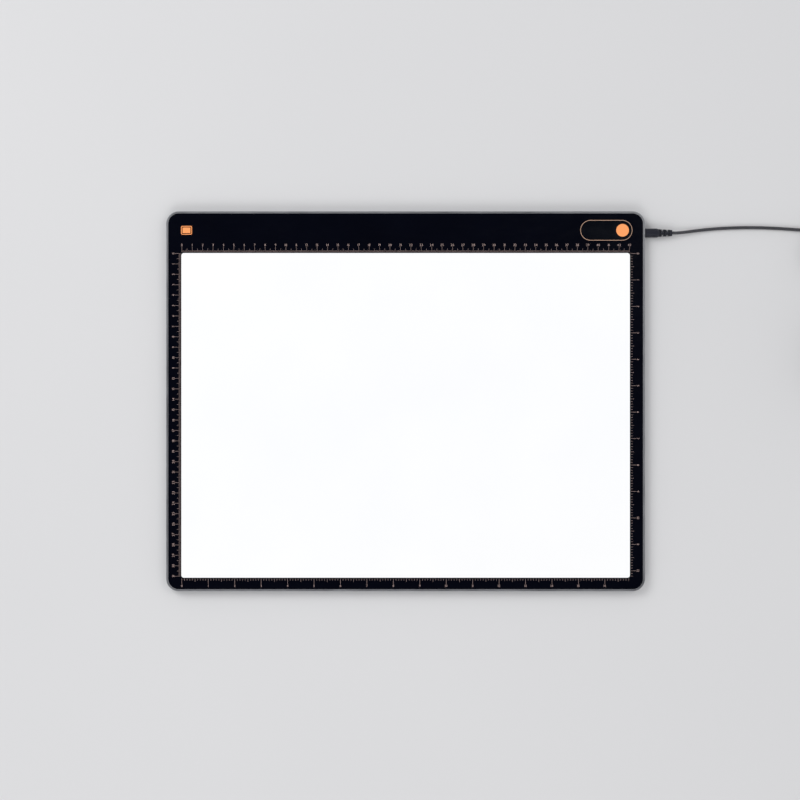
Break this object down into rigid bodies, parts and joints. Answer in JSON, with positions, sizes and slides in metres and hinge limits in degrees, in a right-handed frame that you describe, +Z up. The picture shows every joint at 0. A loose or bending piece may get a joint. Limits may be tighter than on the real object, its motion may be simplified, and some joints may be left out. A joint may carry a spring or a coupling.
{
  "type": "light box",
  "caption": "Slim edge-lit light box for tracing: white lit window in a black border with printed scales, touch key, and a detachable power lead with a plug-in adaptor.",
  "frame": {"origin": "under the middle of the casing, on the surface that its feet stand on", "axes": "+X along the long side, towards the power socket's side; +Y towards the wide border with the touch key; +Z up, out of the lit face"},
  "size_m": [0.6704, 0.365, 0.052],
  "materials": {
    "frame_metal": "satin anodised, grey",
    "panel_opal": "opal acrylic, lit from below",
    "border_film": "glossy black film with pale copper print",
    "cover_plastic": "fine moulded texture, black",
    "black_tape": "thin black adhesive tape",
    "dark_screws": "black zinc",
    "steel_screws": "bright zinc",
    "foot_rubber": "matt black",
    "guide_clear": "polished clear acrylic",
    "white_film": "matt white film",
    "white_moulding": "white moulded plastic",
    "foam": "fine black foam",
    "strip_board": "white solder mask",
    "led_package": "white package with yellow phosphor",
    "board_green": "green solder mask",
    "chip_black": "moulded package",
    "ferrite": "grey ferrite",
    "ceramic": "tan ceramic with tinned ends",
    "connector_white": "natural nylon",
    "wire_jacket": "red wire",
    "contact_metal": "plated brass",
    "touch_copper": "copper film",
    "socket_plastic": "black nylon",
    "plug_metal": "nickel plate",
    "plug_plastic": "soft black moulding",
    "cord_jacket": "matt charcoal jacket",
    "tie_strap": "woven strap",
    "adaptor_plastic": "fine moulded texture, black",
    "pin_metal": "nickel plate",
    "transformer_wrap": "yellow tape round a grey core",
    "capacitor_sleeve": "dark blue sleeve"
  },
  "bodies": {
    "light_box": {"frame": "frame_metal", "cover_panel": "panel_opal", "border_overlay": "border_film", "panel_tape": "black_tape", "back_cover": "cover_plastic", "back_screws": "dark_screws", "reflector_sheet": "white_film", "light_guide": "guide_clear", "prism_film": "white_film", "diffuser_sheet": "white_film", "light_frame": "white_moulding", "foam_gasket": "foam", "front_led_strip": "strip_board", "rear_led_strip": "strip_board", "front_leds": "led_package", "rear_leds": "led_package", "front_led_leads": "wire_jacket", "rear_led_leads": "wire_jacket", "control_board": "board_green", "board_screws": "steel_screws", "power_chip": "chip_black", "touch_chip": "chip_black", "inductor": "ferrite", "small_capacitors": "ceramic", "strip_connectors": "connector_white", "touch_film": "touch_copper", "touch_spring": "contact_metal", "power_socket": "socket_plastic", "socket_pin": "contact_metal", "socket_leaf": "contact_metal", "foot_front_left": "foot_rubber", "foot_front_middle": "foot_rubber", "foot_front_right": "foot_rubber", "foot_rear_left": "foot_rubber", "foot_rear_middle": "foot_rubber", "foot_rear_right": "foot_rubber"},
    "power_lead": {"plug_sleeve": "plug_metal", "plug_insulator": "plug_plastic", "plug_contact": "contact_metal", "plug_moulding": "plug_plastic", "cord_lead": "cord_jacket", "cord_coil": "cord_jacket", "cord_tie": "tie_strap", "cord_tail": "cord_jacket", "adaptor_strain_relief": "plug_plastic", "adaptor_back_shell": "adaptor_plastic", "adaptor_front_shell": "adaptor_plastic", "mains_pins": "pin_metal", "pin_sleeves": "plug_plastic", "adaptor_board": "board_green", "adaptor_transformer": "transformer_wrap", "adaptor_capacitors": "capacitor_sleeve"}
  },
  "joints": [
    {"name": "power_plug_pull", "type": "slide", "parent": "light_box", "child": "power_lead", "axis": [1, 0, 0], "range_m": [0, 0.012]}
  ]
}
